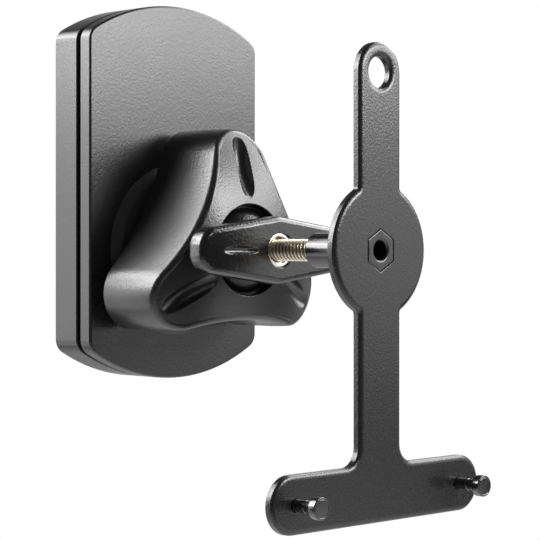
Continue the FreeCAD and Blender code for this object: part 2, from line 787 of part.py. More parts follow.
groove_length = (groove_run * groove_run + groove_fall * groove_fall).root()
reach = wheel_reach(groove_length, s.lobe_groove_depth)
wheel_lift = (reach - s.lobe_groove_depth) / groove_length
wheel_up = (groove_start + groove_end) / 2 + groove_fall * wheel_lift
wheel_out = (dome_height(groove_start) + dome_height(groove_end)) / 2 + groove_run * wheel_lift
sketch = new_sketch(body, "nut_lobe_groove", "XZ_Plane", -wheel_up)
draw_wheel(sketch, wheel_out, reach, s.lobe_groove_nose)
groove = turn(body, sketch, "Groove", "Axis0")
repeat_round(body, groove, len(LOBE_DIRECTIONS))
finish(body, "clamp_nut", up=-s.axis_drop)

# Wing nut: two flat wings that taper from a blunt hub to round ends, each with a groove.
WINGS = 2
body = new_body("wing_nut")
sketch = new_sketch(body, "wing_outline", offset=wing_back)
draw_polygon(sketch, [
    (ZERO, s.wing_hub_half_height),
    (-s.wing_half_length, s.wing_end_half_height),
    (-s.wing_half_length, -s.wing_end_half_height),
    (ZERO, -s.wing_hub_half_height),
    (s.wing_half_length, -s.wing_end_half_height),
    (s.wing_half_length, s.wing_end_half_height),
])
pad(body, sketch, s.wing_thickness)
round_upright(body, "wing_ends", s.wing_end_round, lambda edge: abs(edge.Vertexes[0].X) > TINY)
round_upright(body, "wing_hub", s.wing_hub_round, lambda edge: abs(edge.Vertexes[0].X) < TINY)
for name, level in (("wing_front_edge", wing_front), ("wing_back_edge", wing_back)):
    rim = edges_where(body, lambda edge: lies_at(edge, level.value))
    dress(body, "Fillet", name, rim, s.wing_edge)
sketch = new_sketch(body, "wing_insert_hole", offset=wing_front)
draw_circle(sketch, s.insert_radius + s.joint_clearance)
pocket(body, sketch, s.wing_thickness)
sketch = new_sketch(body, "wing_groove", "YZ_Plane", s.wing_groove_start + s.wing_groove_length / 2)
reach = wheel_reach(s.wing_groove_length, s.wing_groove_depth)
draw_wheel(sketch, wing_front - s.wing_groove_depth + reach, reach, s.wing_groove_nose)
groove = turn(body, sketch, "Groove", "Axis0")
repeat_round(body, groove, WINGS)
finish(body, "wing_nut", up=-s.axis_drop)

# Wing nut insert: a metal bush with the thread, set a little below the wing nut's face.
insert_front = wing_front - s.insert_recess
insert_bore = s.stud_radius + s.running_clearance
body = turned_piece("wing_nut_insert", [
    (insert_bore, wing_back),
    (s.insert_radius, wing_back),
    (s.insert_radius, insert_front),
    (insert_bore + s.insert_countersink, insert_front),
    (insert_bore, insert_front - s.insert_countersink),
])
finish(body, "wing_nut_insert", up=-s.axis_drop)

# Standoff: a round barrel with a hexagonal head pressed flush into the speaker plate.
body = turned_piece("standoff", [
    (ZERO, standoff_back),
    (s.standoff_radius - s.standoff_chamfer, standoff_back),
    (s.standoff_radius, standoff_back + s.standoff_chamfer),
    (s.standoff_radius, plate_back),
    (ZERO, plate_back),
])


def draw_hexagon(sketch, across_flats):
    """A hexagon with a corner at its top and its bottom."""
    side = across_flats / as_size(3).root()
    half = across_flats / 2
    draw_polygon(sketch, [(ZERO, side), (-half, side / 2), (-half, -side / 2),
                          (ZERO, -side), (half, -side / 2), (half, side / 2)])


sketch = new_sketch(body, "standoff_head", offset=plate_back)
draw_hexagon(sketch, s.standoff_hex)
pad(body, sketch, s.plate_thickness)
sketch = new_sketch(body, "standoff_hole", offset=plate_front)
draw_circle(sketch, s.standoff_hole)
pocket(body, sketch, s.standoff_length + s.plate_thickness)
sketch = new_sketch(body, "standoff_thread", offset=stud_end + s.running_clearance)
draw_circle(sketch, s.stud_radius + s.running_clearance)
pocket(body, sketch, stud_end + s.running_clearance - standoff_back)
finish(body, "standoff", up=-s.axis_drop)

# Speaker plate: one flat steel blank of a disc, an arm up to a screw hole, and an arm
# down to a crossbar that carries the keyhole pins at its round ends.
half_arm = s.arm_width / 2
half_spacing = s.pin_spacing / 2
half_bar = half_spacing + s.bar_overhang
body = new_body("speaker_plate")
sketch = new_sketch(body, "plate_disc", offset=plate_back)
draw_circle(sketch, s.disc_radius)
pad(body, sketch, s.plate_thickness)
sketch = new_sketch(body, "plate_arms", offset=plate_back)
draw_rectangle(sketch, -half_arm, -s.bar_drop, half_arm, s.arm_reach)
pad(body, sketch, s.plate_thickness)
sketch = new_sketch(body, "plate_arm_end", offset=plate_back)
draw_circle(sketch, half_arm, ZERO, s.arm_reach)
pad(body, sketch, s.plate_thickness)
sketch = new_sketch(body, "plate_bar", offset=plate_back)
draw_stadium(sketch, -half_bar, half_bar, -s.bar_drop, s.bar_half_height)
pad(body, sketch, s.plate_thickness)
bar_top = s.bar_half_height - s.bar_drop
round_upright(body, "plate_bar_corners", s.bar_corner,
              lambda edge: abs(edge.Vertexes[0].Y - bar_top.value) < TINY
              and abs(abs(edge.Vertexes[0].X) - half_arm.value) < TINY)
round_upright(body, "plate_disc_corners", s.disc_corner,
              lambda edge: abs(abs(edge.Vertexes[0].X) - half_arm.value) < TINY
              and abs(edge.Vertexes[0].Y) < s.disc_radius.value)
for name, level in (("plate_front_edge", plate_front), ("plate_back_edge", plate_back)):
    rim = edges_where(body, lambda edge: lies_at(edge, level.value))
    dress(body, "Fillet", name, rim, s.plate_edge)
sketch = new_sketch(body, "plate_holes", offset=plate_front)
draw_hexagon(sketch, s.standoff_hex + 2 * s.joint_clearance)
draw_circle(sketch, s.top_hole_radius, ZERO, s.arm_reach)
for x in (-half_spacing, half_spacing):
    draw_circle(sketch, s.pin_radius + s.joint_clearance, x, -s.bar_drop)
pocket(body, sketch, s.plate_thickness)
edges = edges_where(body, lambda edge: lies_at(edge, plate_front.value)
                    and all(abs(corner.X) < half_arm.value and abs(corner.Y) < s.standoff_hex.value
                            for corner in edge.Vertexes))
dress(body, "Fillet", "plate_head_hole", edges, s.head_hole_edge)
finish(body, "speaker_plate", up=-s.axis_drop)

# Keyhole pins: a shank through the crossbar and a wider head that a keyhole slips over.
pin_end = plate_front + s.pin_reach
head_back = pin_end - s.pin_head_length
for side, label in ((-1, "keyhole_pin_left"), (1, "keyhole_pin_right")):
    body = turned_piece(label, [
        (ZERO, plate_back),
        (s.pin_radius, plate_back),
        (s.pin_radius, head_back),
        (s.pin_head_radius, head_back),
        (s.pin_head_radius, pin_end - s.pin_chamfer),
        (s.pin_head_radius - s.pin_chamfer, pin_end),
        (ZERO, pin_end),
    ])
    finish(body, label, across=half_spacing * side, up=-s.axis_drop - s.bar_drop)

# Every object has to be sound before a file is written.
doc.recompute()
for thing in doc.Objects:
    if "Invalid" in thing.State or "Error" in thing.State:
        raise RuntimeError(f"{thing.Name} failed: {thing.State}")
for piece in pieces:
    if piece.Shape.isNull() or not piece.Shape.isValid() or not piece.Shape.Solids:
        raise RuntimeError(f"{piece.Label} has no sound shape")

os.makedirs("parts", exist_ok=True)
for piece in pieces:
    piece.Shape.exportStep(f"parts/{piece.Label}.step")
    print(f"{piece.Label}: {len(piece.Shape.Solids)} solids, {piece.Shape.Volume:.1f} mm3")
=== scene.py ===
import json
import math

import bmesh
import bpy
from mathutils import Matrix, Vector

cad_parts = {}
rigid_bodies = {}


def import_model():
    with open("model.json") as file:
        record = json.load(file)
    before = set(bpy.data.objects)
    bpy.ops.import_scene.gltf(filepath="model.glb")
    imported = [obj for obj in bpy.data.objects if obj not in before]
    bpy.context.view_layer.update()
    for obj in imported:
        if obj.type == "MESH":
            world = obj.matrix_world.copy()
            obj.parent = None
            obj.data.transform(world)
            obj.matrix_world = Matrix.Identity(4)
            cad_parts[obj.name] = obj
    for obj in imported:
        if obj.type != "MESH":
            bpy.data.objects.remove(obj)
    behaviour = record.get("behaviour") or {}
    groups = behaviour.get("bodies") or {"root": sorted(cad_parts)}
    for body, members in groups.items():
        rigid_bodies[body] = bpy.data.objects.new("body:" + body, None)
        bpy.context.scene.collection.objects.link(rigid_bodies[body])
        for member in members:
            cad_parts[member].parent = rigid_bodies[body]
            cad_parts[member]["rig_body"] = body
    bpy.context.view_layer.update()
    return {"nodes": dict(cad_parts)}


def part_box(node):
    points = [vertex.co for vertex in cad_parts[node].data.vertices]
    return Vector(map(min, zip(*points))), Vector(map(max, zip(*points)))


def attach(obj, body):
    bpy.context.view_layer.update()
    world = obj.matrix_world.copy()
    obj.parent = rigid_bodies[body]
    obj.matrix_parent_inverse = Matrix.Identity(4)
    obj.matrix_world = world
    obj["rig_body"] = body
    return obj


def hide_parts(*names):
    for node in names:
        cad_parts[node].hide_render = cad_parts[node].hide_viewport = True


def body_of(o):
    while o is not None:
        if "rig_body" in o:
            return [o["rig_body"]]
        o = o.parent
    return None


# Speaker wall bracket: the visible finish of an arched wall box, a clamped ball joint, a
# threaded stud with a wing nut and a flat speaker plate.
#
# Pieces are drawn in millimetres as (across, up, out): across to the right, up, and out of
# the wall. The pieces of the ball joint are drawn about the stud's axis.

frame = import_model()

MM = 0.001


def node_sides(node):
    """A CAD node's lowest and highest (across, up, out) in millimetres."""
    low, high = (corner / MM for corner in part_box(node))
    return Vector((low.x, low.z, -high.y)), Vector((high.x, high.z, -low.y))


stud_low, stud_high = node_sides("stud")
AXIS_UP = (stud_low.y + stud_high.y) / 2
STUD_RADIUS = 4.0
THREAD_DEPTH = 0.85
STUD_ROOT = STUD_RADIUS - THREAD_DEPTH


# Shader and geometry node trees

class Value:
    """A socket of a node tree. Arithmetic on it adds Math nodes to the tree."""

    def __init__(self, graph, socket):
        self.graph = graph
        self.socket = socket

    def math(self, operation, *others):
        """A Math node's result on this value and the others."""
        sockets = dict(enumerate((self, *others)))
        return self.graph.add("ShaderNodeMath", sockets, operation=operation)

    def __add__(self, other):
        return self.math("ADD", other)

    def __radd__(self, other):
        return self.math("ADD", other)

    def __sub__(self, other):
        return self.math("SUBTRACT", other)

    def __rsub__(self, other):
        return self.graph.add("ShaderNodeMath", {0: other, 1: self}, operation="SUBTRACT")

    def __mul__(self, other):
        return self.math("MULTIPLY", other)

    def __rmul__(self, other):
        return self.math("MULTIPLY", other)

    def __truediv__(self, other):
        return self.math("DIVIDE", other)

    def between(self, low, high):
        """0 below low, 1 above high, and a smooth step between them."""
        sockets = {"Value": self, "From Min": low, "From Max": high}
        return self.graph.add("ShaderNodeMapRange", sockets, interpolation_type="SMOOTHSTEP")


class Graph:
    """A node tree that is built by adding nodes with their settings and sockets."""

    def __init__(self, tree):
        self.tree = tree

    def add(self, kind, sockets=None, output=0, **settings):
        """Add a node: first its settings, then its sockets' values or links by name or place."""
        node = self.tree.nodes.new(kind)
        for name, setting in settings.items():
            setattr(node, name, setting)
        for key, value in (sockets or {}).items():
            self.feed(node.inputs[key], value)
        return Value(self, node.outputs[output])

    def feed(self, socket, value):
        """Link a value to a socket, or set the socket to a plain number, colour or the like."""
        if isinstance(value, Value):
            self.tree.links.new(value.socket, socket)
        else:
            socket.default_value = value

    def parts(self, vector):
        """A vector's three coordinates."""
        node = self.add("ShaderNodeSeparateXYZ", {0: vector}).socket.node
        return [Value(self, socket) for socket in node.outputs]


class Finish(Graph):
    """A material with one Principled shader and a pattern on the part's own coordinates."""

    def __init__(self, name, **constants):
        self.material = bpy.data.materials.new(name)
        self.material.use_nodes = True
        super().__init__(self.material.node_tree)
        self.shader = self.tree.nodes["Principled BSDF"]
        for key, value in constants.items():
            self.shader.inputs[key.replace("_", " ")].default_value = value
        self.place = self.add("ShaderNodeTexCoord", output="Object")

    def noise(self, size_mm, detail=2.0, roughness=0.5):
        """Soft random values from 0 to 1 with grains of about this size."""
        sockets = {"Vector": self.place, "Scale": 1 / (size_mm * MM),
                   "Detail": detail, "Roughness": roughness}
        return self.add("ShaderNodeTexNoise", sockets)

    def cells(self, size_mm):
        """Distances to scattered points, this far apart."""
        sockets = {"Vector": self.place, "Scale": 1 / (size_mm * MM)}
        return self.add("ShaderNodeTexVoronoi", sockets)

    def colour(self, first, second, factor):
        """Mix two colours over the surface."""
        mix = self.tree.nodes.new("ShaderNodeMix")
        mix.data_type = "RGBA"
        for key, value in {"Factor": factor, "A": (*first, 1), "B": (*second, 1)}.items():
            socket = next(item for item in mix.inputs if item.name == key and item.enabled)
            self.feed(socket, value)
        mixed = next(item for item in mix.outputs if item.enabled)
        self.feed(self.shader.inputs["Base Color"], Value(self, mixed))

    def rough(self, value):
        """Set the roughness over the surface."""
        self.feed(self.shader.inputs["Roughness"], value)

    def relief(self, *layers):
        """Bump layers of (height from 0 to 1, depth in millimetres, strength)."""
        normal = None
        for height, depth_mm, strength in layers:
            sockets = {"Height": height, "Distance": depth_mm * MM, "Strength": strength}
            if normal:
                sockets["Normal"] = normal
            normal = self.add("ShaderNodeBump", sockets)
        self.feed(self.shader.inputs["Normal"], normal)


BLACKS = (0.006, 0.006, 0.0065), (0.014, 0.014, 0.0145)
DEEP_BLACKS = (0.004, 0.004, 0.0045), (0.010, 0.010, 0.0105)


def grained_black(name, specular, shades, grain_mm, depth_mm, cloud_mm, rough):
    """Moulded black plastic with a spark-eroded grain. Its roughness is given as the least value,
    what the grain adds and what a slow cloud adds."""
    finish = Finish(name, IOR=1.5, Specular_IOR_Level=specular)
    grain = finish.noise(grain_mm)
    cloud = finish.noise(cloud_mm)
    finish.colour(*shades, grain * 0.6 + cloud * 0.4)
    least, by_grain, by_cloud = rough
    finish.rough(least + by_grain * grain + by_cloud * cloud)
    finish.relief((grain, depth_mm, 1.0))
    return finish.material


def moulded_black():
    """Satin black of the wall box."""
    return grained_black("moulded_black", specular=0.9, shades=BLACKS, grain_mm=0.8,
                         depth_mm=0.05, cloud_mm=14, rough=(0.23, 0.06, 0.06))


def nut_black():
    """Satin black of the clamp nut, with a deeper grain."""
    return grained_black("nut_black", specular=0.93, shades=BLACKS, grain_mm=0.8,
                         depth_mm=0.08, cloud_mm=14, rough=(0.24, 0.06, 0.06))


def wing_black():
    """Glossier black of the wing nut, with a coarser grain."""
    return grained_black("wing_black", specular=1.0, shades=DEEP_BLACKS, grain_mm=0.9,
                         depth_mm=0.10, cloud_mm=8.0, rough=(0.16, 0.05, 0.04))


def powder_black():
    """Black powder coat: an orange peel with fine specks."""
    finish = Finish("powder_black", IOR=1.5, Specular_IOR_Level=0.8)
    peel = finish.noise(0.9)
    speck = finish.noise(0.45, roughness=0.6)
    finish.colour((0.008, 0.008, 0.0085), (0.018, 0.018, 0.0185), speck)
    finish.rough(0.19 + 0.14 * speck)
    finish.relief((peel, 0.07, 1.0), (speck, 0.01, 1.0))
    return finish.material


def cast_black():
    """Black coated zinc casting, slightly rough."""
    finish = Finish("cast_black", IOR=1.5, Specular_IOR_Level=0.7)
    crust = finish.noise(0.9, detail=3.0, roughness=0.6)
    finish.colour((0.012, 0.012, 0.013), (0.026, 0.026, 0.027), crust)
    finish.rough(0.34 + 0.14 * crust)
    finish.relief((crust, 0.06, 1.0))
    return finish.material


def pitted_black():
    """Black enamel of the ball, satin and finely pitted."""
    finish = Finish("pitted_black", IOR=1.5, Specular_IOR_Level=0.42)
    pits = finish.cells(0.9)
    cloud = finish.noise(4.0)
    finish.colour(*DEEP_BLACKS, cloud)
    finish.rough(0.24 + 0.10 * cloud)
    finish.relief((pits, 0.12, 1.0))
    return finish.material


def dark_steel(name, index):
    """Smooth black steel with faint tool marks, the brighter the higher its index."""
    finish = Finish(name, IOR=index, Specular_IOR_Level=0.9)
    cloud = finish.noise(2.5, detail=3.0)
    finish.colour((0.007, 0.007, 0.008), (0.016, 0.016, 0.018), cloud)
    finish.rough(0.16 + 0.08 * cloud)
    finish.relief((finish.noise(0.5), 0.02, 1.0))
    return finish.material


def blackened_steel():
    """Black steel of the standoff and the lock screw."""
    return dark_steel("blackened_steel", index=1.5)


def pin_steel():
    """Brighter black steel of the keyhole pins."""
    return dark_steel("pin_steel", index=1.66)


def seat_plastic():
    """Smooth black bearing plastic."""
    finish = Finish("seat_plastic", IOR=1.48, Specular_IOR_Level=0.4)
    cloud = finish.noise(3.0)
    finish.colour((0.014, 0.014, 0.015), (0.022, 0.022, 0.023), cloud)
    finish.rough(0.42 + 0.1 * cloud)
    finish.relief((finish.noise(0.5), 0.01, 0.3))
    return finish.material


def bright_zinc():
    """Zinc plated steel with a faint spangle."""
    finish = Finish("bright_zinc", Metallic=1.0)
    spangle = finish.cells(1.8)
    cloud = finish.noise(9.0, detail=3.0)
    finish.colour((0.30, 0.31, 0.33), (0.46, 0.47, 0.49), cloud * 0.7 + spangle * 0.3)
    finish.rough(0.30 + 0.14 * cloud)
    finish.relief((finish.noise(0.35, detail=3.0), 0.01, 0.4))
    return finish.material


def nickel():
    """Bright nickel plate of the wing nut's bush."""
    finish = Finish("nickel", Metallic=1.0)
    cloud = finish.noise(0.9, detail=3.0, roughness=0.6)
    finish.colour((0.78, 0.75, 0.70), (0.92, 0.90, 0.86), cloud)
    finish.rough(0.16 + 0.12 * cloud)
    finish.relief((finish.noise(0.4), 0.006, 0.6))
    return finish.material


def pale_zinc():
    """Pale yellowish zinc of the stud, with painted shade darkening the thread's roots and fading
    out towards its crests.
    """
    finish = Finish("pale_zinc", Metallic=1.0)
    across, _, height = finish.parts(finish.place)
    rise = height - AXIS_UP * MM
    radius = (across * across + rise * rise).math("SQRT")
    # Painted shade: a mask that is 0 in the thread's roots and 1 on its crests.
    clear_of_root_shade = radius.between(STUD_ROOT * MM, STUD_RADIUS * MM)
    cloud = finish.noise(1.6, detail=3.0, roughness=0.6)
    # The dark colour is painted shade in the thread's roots. It fades to the pale yellow on the
    # crests.
    finish.colour((0.13, 0.09, 0.055), (0.95, 0.84, 0.68), clear_of_root_shade * (0.85 + 0.15 * cloud))
    finish.rough(0.42 - 0.14 * clear_of_root_shade + 0.10 * cloud)
    finish.relief((finish.noise(0.6), 0.004, 0.6))
    return finish.material


FINISHES = {make.__name__: make() for make in (
    moulded_black, nut_black, wing_black, powder_black, cast_black, pitted_black,
    blackened_steel, pin_steel, seat_plastic, bright_zinc, nickel, pale_zinc)}


# Meshes

WELD = 0.002
RING_POINTS = 96
SMALL_EDGE_STEPS = 5
LARGE_EDGE_STEPS = 8


def at(across, up, out):
    """A point drawn in millimetres, in the part's own frame in metres."""
    return Vector((across, -out, up)) * MM


def angles(count):
    """Angles once round, anticlockwise from the right."""
    return [2 * math.pi * index / count for index in range(count)]


def fractions(count):
    """Even steps from 0 to 1, with both ends."""
    return [index / count for index in range(count + 1)]


def quarter(count):
    """Sine and cosine at even steps over a quarter turn, with both ends."""
    bends = [part * math.pi / 2 for part in fractions(count)]
    return [(math.sin(bend), math.cos(bend)) for bend in bends]


def rounded(corners, radii, steps=6):
    """A closed run of flat points with its corners rounded, each corner by its own radius."""
    points = [Vector(corner) for corner in corners]
    run = []
    for index, (corner, radius) in enumerate(zip(points, radii)):
        if not radius:
            run.append(corner)
            continue
        before = points[index - 1] - corner
        after = points[(index + 1) % len(points)] - corner
        half = before.angle(after) / 2
        reach = radius / math.tan(half)
        inwards = (before.normalized() + after.normalized()).normalized()
        middle = corner + inwards * radius / math.sin(half)
        first = corner + before.normalized() * reach - middle
        last = corner + after.normalized() * reach - middle
        run += [middle + first.slerp(last, part) * radius for part in fractions(steps)]
    return run


def turned(profile, count=RING_POINTS, across=0.0, up=AXIS_UP):
    """The rings of a turned piece from its profile of (radius, out)."""
    return [[(across + radius * math.cos(angle), up + radius * math.sin(angle), out)
             for angle in angles(count)] for radius, out in profile]


def sew(mesh, rings, loop=False):
    """Add quads between rings of points, each ring with as many points as the next."""
    rows = [[mesh.verts.new(at(*point)) for point in ring] for ring in rings]
    pairs = list(zip(rows, rows[1:]))
    if loop:
        pairs.append((rows[-1], rows[0]))
    for here, there in pairs:
        for index in range(len(here)):
            after = (index + 1) % len(here)
            mesh.faces.new((here[index], here[after], there[after], there[index]))
    return rows


def skin(rings, loop=False):
    """A mesh of quads between rings of points."""
    mesh = bmesh.new()
    sew(mesh, rings, loop)
    return mesh


def to_data(mesh, name):
    """A drawn mesh as named mesh data."""
    data = bpy.data.meshes.new(name)
    mesh.to_mesh(data)
    mesh.free()
    return data


def soften(data, sharp_degrees):
    """Shade a mesh smooth, except over edges that bend more than this."""
    data.shade_smooth()
    data.set_sharp_from_angle(angle=math.radians(sharp_degrees))


def link(name, data):
    """Make a mesh, lamp or camera an object of the scene."""
    thing = bpy.data.objects.new(name, data)
    bpy.context.scene.collection.objects.link(thing)
    return thing


def settle(mesh, name, sharp_degrees=35):
    """Close a drawn mesh, turn its faces outwards and make it an object of the scene."""
    bmesh.ops.remove_doubles(mesh, verts=mesh.verts, dist=WELD * MM)
    bmesh.ops.recalc_face_normals(mesh, faces=mesh.faces)
    data = to_data(mesh, name)
    soften(data, sharp_degrees)
    return link(name, data)


def bake_modifiers(thing):
    """Replace an object's mesh by what its modifiers make of it."""
    depsgraph = bpy.context.evaluated_depsgraph_get()
    data = bpy.data.meshes.new_from_object(thing.evaluated_get(depsgraph), depsgraph=depsgraph)
    thing.modifiers.clear()
    thing.data = data


def level_faces(thing):
    """Let large faces set the shading at their rims, so that flats look flat beside fillets."""
    weigh = thing.modifiers.new("level_faces", "WEIGHTED_NORMAL")
    weigh.keep_sharp = True
    bake_modifiers(thing)
    return thing


def grow(thing, tree, **inputs):
    """Run a node tree on an object with its named inputs, and keep the mesh that it gives."""
    modifier = thing.modifiers.new(tree.name, "NODES")
    modifier.node_group = tree
    for item in tree.interface.items_tree:
        if item.in_out == "INPUT" and item.name in inputs:
            modifier[item.identifier] = inputs[item.name]
    bake_modifiers(thing)


def wear(thing, finish, node):
    """Give a finished piece its material, and let it stand for its CAD node."""
    thing.data.materials.clear()
    thing.data.materials.append(FINISHES[finish])
    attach(thing, body_of(frame["nodes"][node])[0])
    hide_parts(node)


def joined_copy(node):
    """A copy of a CAD node's loose triangles, joined."""
    mesh = bmesh.new()
    mesh.from_mesh(frame["nodes"][node].data)
    bmesh.ops.remove_doubles(mesh, verts=mesh.verts, dist=WELD * MM)
    return mesh


def smooth_copy(node, finish):
    """A CAD node with its triangles joined and its fillets shaded smooth."""
    name = f"{node}_piece"
    data = to_data(joined_copy(node), name)
    # The normals stored with the loose triangles don't fit the joined ones.
    data.attributes.remove(data.attributes["custom_normal"])
    soften(data, sharp_degrees=40)
    wear(level_faces(link(name, data)), finish, node)


# Node trees for what repeats or follows a helix

FLANK_TOP, FLANK_FOOT = 0.08, 0.9
NEAR_RADIUS = 0.02
SCREW_HEAD_POINTS = 48
SCREW_SHANK_POINTS = 32
RECESS_REACH = 1.1


def tree_with(name, **kinds):
    """A new geometry node tree with these inputs. Gives its graph and the inputs as values."""
    tree = bpy.data.node_groups.new(name, "GeometryNodeTree")
    for label, kind in kinds.items():
        tree.interface.new_socket(label, in_out="INPUT", socket_type=f"NodeSocket{kind}")
    tree.interface.new_socket("Result", in_out="OUTPUT", socket_type="NodeSocketGeometry")
    graph = Graph(tree)
    entry = tree.nodes.new("NodeGroupInput")
    return graph, {label: Value(graph, entry.outputs[label]) for label in kinds}


def close_tree(graph, shape, material):
    """End a tree in real geometry with its material."""
    shape = graph.add("GeometryNodeRealizeInstances", {"Geometry": shape})
    shape = graph.add("GeometryNodeSetMaterial", {"Geometry": shape, "Material": material})
    graph.feed(graph.tree.nodes.new("NodeGroupOutput").inputs[0], shape)
    return graph.tree


def boolean(graph, operation, shapes, base=None):
    """Join several shapes, or cut them from a base."""
    sockets = {"Mesh 1": base} if base else {}
    result = graph.add("GeometryNodeMeshBoolean", sockets, operation=operation, solver="EXACT")
    for shape in shapes:
        graph.feed(result.socket.node.inputs["Mesh 2"], shape)
    return result


def thread_cutter():
    """Sinks a helical thread into the faces of a turned piece that lie at one radius."""
    graph, given = tree_with(
        "thread_cutter", Blank="Geometry", Radius="Float", Depth="Float", Pitch="Float",
        Start="Float", End="Float", Up="Float", Metal="Material")
    across, depth, height = graph.parts(graph.add("GeometryNodeInputPosition"))
    rise = height - given["Up"]
    out = depth * -1.0
    radius = (across * across + rise * rise).math("SQRT")
    turns = rise.math("ARCTAN2", across) / (2 * math.pi)
    phase = (out / given["Pitch"] - turns).math("FRACT")
    flank = 1.0 - (2.0 * phase - 1.0).math("ABSOLUTE")
    sunk = flank.between(FLANK_TOP, FLANK_FOOT)
    run_in = ((out - given["Start"]) / given["Pitch"]).between(0.0, 1.0)
    run_out = ((given["End"] - out) / given["Pitch"]).between(0.0, 1.0)
    change = sunk * run_in * run_out * given["Depth"] / radius
    offset = graph.add("ShaderNodeCombineXYZ", {
        "X": across * change * -1.0, "Z": rise * change * -1.0})
    near = (radius - given["Radius"]).math("ABSOLUTE").math("LESS_THAN", NEAR_RADIUS * MM)
    shape = graph.add("GeometryNodeSetPosition", {
        "Geometry": given["Blank"], "Selection": near, "Offset": offset})
    return close_tree(graph, shape, given["Metal"])


def screw_setter():
    """Sets a countersunk screw with a crossed recess on every point, its head facing the wall."""
    graph, given = tree_with(
        "screw_setter", Places="Geometry", Head="Float", Shank="Float", Sink="Float",
        Length="Float", Recess="Float", Metal="Material")
    cone = graph.add("GeometryNodeMeshCone", {
        "Vertices": SCREW_HEAD_POINTS, "Radius Top": given["Shank"],
        "Radius Bottom": given["Head"], "Depth": given["Sink"]})
    start = given["Sink"] * 0.5
    shank = graph.add("GeometryNodeMeshCylinder", {
        "Vertices": SCREW_SHANK_POINTS, "Radius": given["Shank"],
        "Depth": given["Length"] - start})
    lift = graph.add("ShaderNodeCombineXYZ", {"Z": (given["Length"] + start) * 0.5})
    shank = graph.add("GeometryNodeTransform", {"Geometry": shank, "Translation": lift})
    blank = boolean(graph, "UNION", (cone, shank))
    size = graph.add("ShaderNodeCombineXYZ", {
        "X": given["Head"] * RECESS_REACH, "Y": given["Recess"], "Z": given["Sink"]})
    bar = graph.add("GeometryNodeMeshCube", {"Size": size})
    cross = [graph.add("GeometryNodeTransform", {"Geometry": bar, "Rotation": (0, 0, turn)})
             for turn in (0.0, math.pi / 2)]
    screw = boolean(graph, "DIFFERENCE", cross, base=blank)
    screws = graph.add("GeometryNodeInstanceOnPoints", {
        "Points": given["Places"], "Instance": screw, "Rotation": (math.pi / 2, 0, 0)})
    return close_tree(graph, screws, given["Metal"])


THREAD_CUTTER = thread_cutter()
SCREW_SETTER = screw_setter()


# Wall box

SCREW_HEAD = 3.8
HEAD_GAP = 0.3
SCREW_SHANK = 2.0
SCREW_RECESS = 0.9


def housing_screws():
    """Countersunk screws in the four corners of the wall plate, their heads to the wall."""
    name = "housing_screws_piece"
    low, high = node_sides("housing_screws")
    places = [at(across, up, low.z) for across in (low.x + SCREW_HEAD, high.x - SCREW_HEAD)
              for up in (low.y + SCREW_HEAD, high.y - SCREW_HEAD)]
    data = bpy.data.meshes.new(name)
    data.from_pydata(places, [], [])
    thing = link(name, data)
    grow(thing, SCREW_SETTER, Head=(SCREW_HEAD - HEAD_GAP) * MM, Shank=SCREW_SHANK * MM,
         Sink=(SCREW_HEAD - SCREW_SHANK) * MM, Length=(high.z - low.z) * MM,
         Recess=SCREW_RECESS * MM, Metal=FINISHES["bright_zinc"])
    soften(thing.data, sharp_degrees=30)
    return thing


smooth_copy("rear_housing", "moulded_black")
smooth_copy("front_cover", "moulded_black")
smooth_copy("wall_plate", "bright_zinc")
smooth_copy("socket", "cast_black")
wear(housing_screws(), "bright_zinc", "housing_screws")
smooth_copy("carrier_plate", "bright_zinc")
smooth_copy("socket_screws", "bright_zinc")
smooth_copy("lock_screw", "blackened_steel")
smooth_copy("rear_seat", "seat_plastic")
smooth_copy("front_seat", "seat_plastic")


# Grooves cut by a round-nosed wheel

class WheelGroove:
    """A groove that starts and ends in a point, along one line over a front face."""

    def __init__(self, face, start, end, depth, nose, soft):
        """From start to end along the line, where face gives the front's height out of the wall.
        The wheel has this nose radius, and the groove's rim is rounded over about soft."""
        first, last = Vector((start, face(start))), Vector((end, face(end)))
        chord = last - first
        self.nose = nose
        self.soft = soft
        self.reach = (chord.length ** 2 / 4 + depth ** 2) / (2 * depth)
        outward = Vector((-chord.y, chord.x)).normalized()
        self.hub = (first + last) / 2 + outward * (self.reach - depth)

    def floor(self, along, aside):
        """The groove's height out of the wall, or None beside it."""
        if abs(aside) >= self.nose:
            return None
        reach = self.reach - self.nose + math.sqrt(self.nose ** 2 - aside ** 2)
        if abs(along - self.hub.x) >= reach:
            return None
        return self.hub.y - math.sqrt(reach ** 2 - (along - self.hub.x) ** 2)

    def cut(self, height, along, aside):
        """The face's height with the groove in it."""
        floor = self.floor(along, aside)
        if floor is None:
            return height
        overlap = max(self.soft - abs(height - floor), 0)
        return min(height, floor) - overlap * overlap / (4 * self.soft)


# Clamp nut: three round lobes with hollow sides under a domed front

NUT_BACK = node_sides("clamp_nut")[0].z
NUT_FRONT = 61.85
NUT_SHOULDER = 58.55
NUT_BORE = 17.0
NUT_THREAD = 22.45
NUT_WAIST = 26.4
LOBE_TIP = 13.5
SIDE_HOLLOW = 112.0
DOME = 105.0
NUT_EDGE = 2.8
NUT_LEAN = math.radians(4)
NUT_LEAN_DEPTH = 11.0
LEAN_INSET = NUT_LEAN_DEPTH * math.tan(NUT_LEAN) / 2
NUT_EDGE_CENTRE = LEAN_INSET + NUT_EDGE * math.cos(NUT_LEAN)
NUT_BACK_EDGE = 1.0
BORE_EDGE = 0.5
NUT_POINTS = 600
NUT_ROWS = 90
NUT_SPREAD = 0.4
SIDE_CENTRE = SIDE_HOLLOW + NUT_WAIST
LOBE_CENTRE = (SIDE_CENTRE - math.sqrt(
    4 * (SIDE_HOLLOW + LOBE_TIP) ** 2 - 3 * SIDE_CENTRE ** 2)) / 2
DOME_CENTRE = NUT_FRONT - math.sqrt(DOME ** 2 - NUT_BORE ** 2)


def dome(radius):
    """The nut's domed front, out of the wall."""
    return DOME_CENTRE + math.sqrt(DOME ** 2 - radius ** 2)


